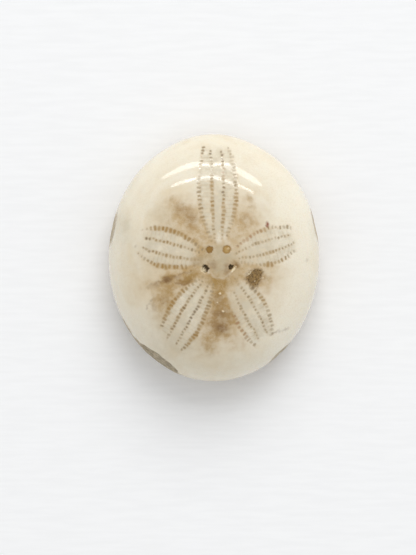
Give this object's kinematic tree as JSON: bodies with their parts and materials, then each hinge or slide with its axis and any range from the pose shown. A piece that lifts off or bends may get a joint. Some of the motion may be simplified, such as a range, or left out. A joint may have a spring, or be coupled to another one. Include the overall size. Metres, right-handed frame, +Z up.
{
  "type": "fossil sand dollar",
  "caption": "Polished fossil sand dollar: an oval, domed, stone-filled test with a petalled star of pore rows on top and a mouth in its hollow base, lying on the ring round it.",
  "frame": {"origin": "on the surface that it rests on, under the middle of the outline", "axes": "+Y towards the anterior end, where the longest petal points; +X to the right with the petals up; +Z up"},
  "size_m": [0.0426, 0.05, 0.018],
  "materials": {
    "polished_fossil": "polished cream calcite with ochre pores and brown stains, grey and matt where the rim is unpolished"
  },
  "bodies": {
    "root": {"fossil_test": "polished_fossil"}
  },
  "joints": []
}
